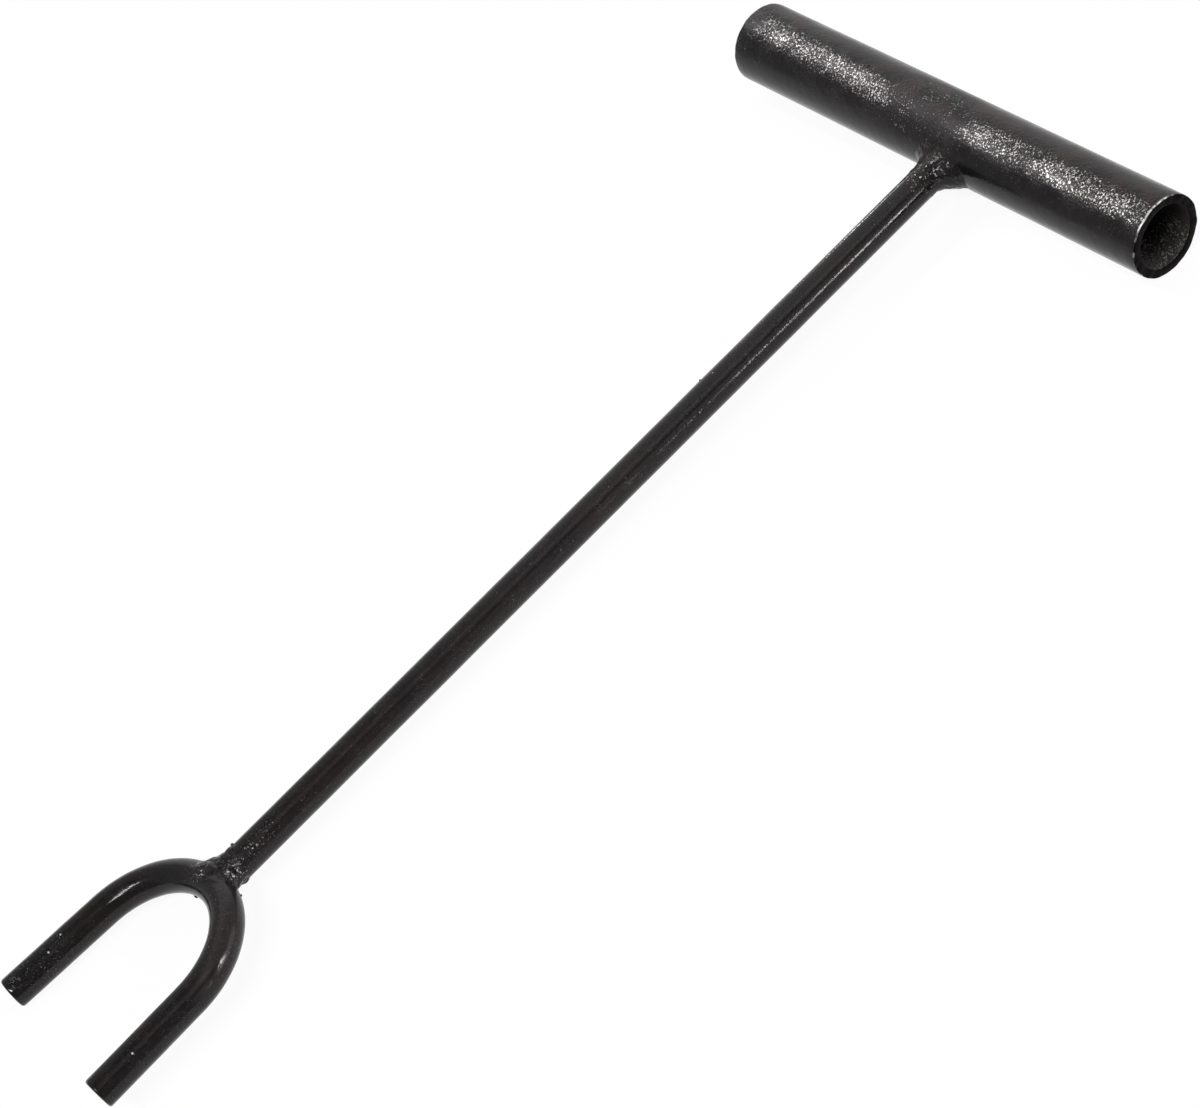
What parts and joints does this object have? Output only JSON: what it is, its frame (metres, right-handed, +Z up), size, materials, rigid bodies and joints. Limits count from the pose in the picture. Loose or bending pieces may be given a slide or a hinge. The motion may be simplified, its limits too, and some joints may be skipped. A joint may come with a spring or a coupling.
{
  "type": "two-prong t-handle fork",
  "caption": "Black-painted steel hand fork: open tube T-handle, straight round shaft and a bent U of blunt prongs, joined by fillet welds, for hooking over a bar or lug and turning it.",
  "frame": {"origin": "centre of the base of the bounding box, with the tool lying at rest on a flat surface", "axes": "+X along the tube handle, +Y along the shaft from the prongs to the handle, +Z up from the surface it lies on"},
  "size_m": [0.1748, 0.3916, 0.0258],
  "materials": {
    "handle_paint": "glossy black paint with a fine grain over drawn tube",
    "shaft_paint": "glossy black paint with a fine grain over round bar",
    "fork_paint": "glossy black paint with a fine grain over bent round bar",
    "handle_weld_paint": "black paint over a weld bead, slightly rougher",
    "fork_weld_paint": "black paint over a weld bead, slightly rougher"
  },
  "bodies": {
    "root": {"handle_tube": "handle_paint", "shaft_rod": "shaft_paint", "fork_prongs": "fork_paint", "handle_weld": "handle_weld_paint", "fork_weld": "fork_weld_paint"}
  },
  "joints": []
}
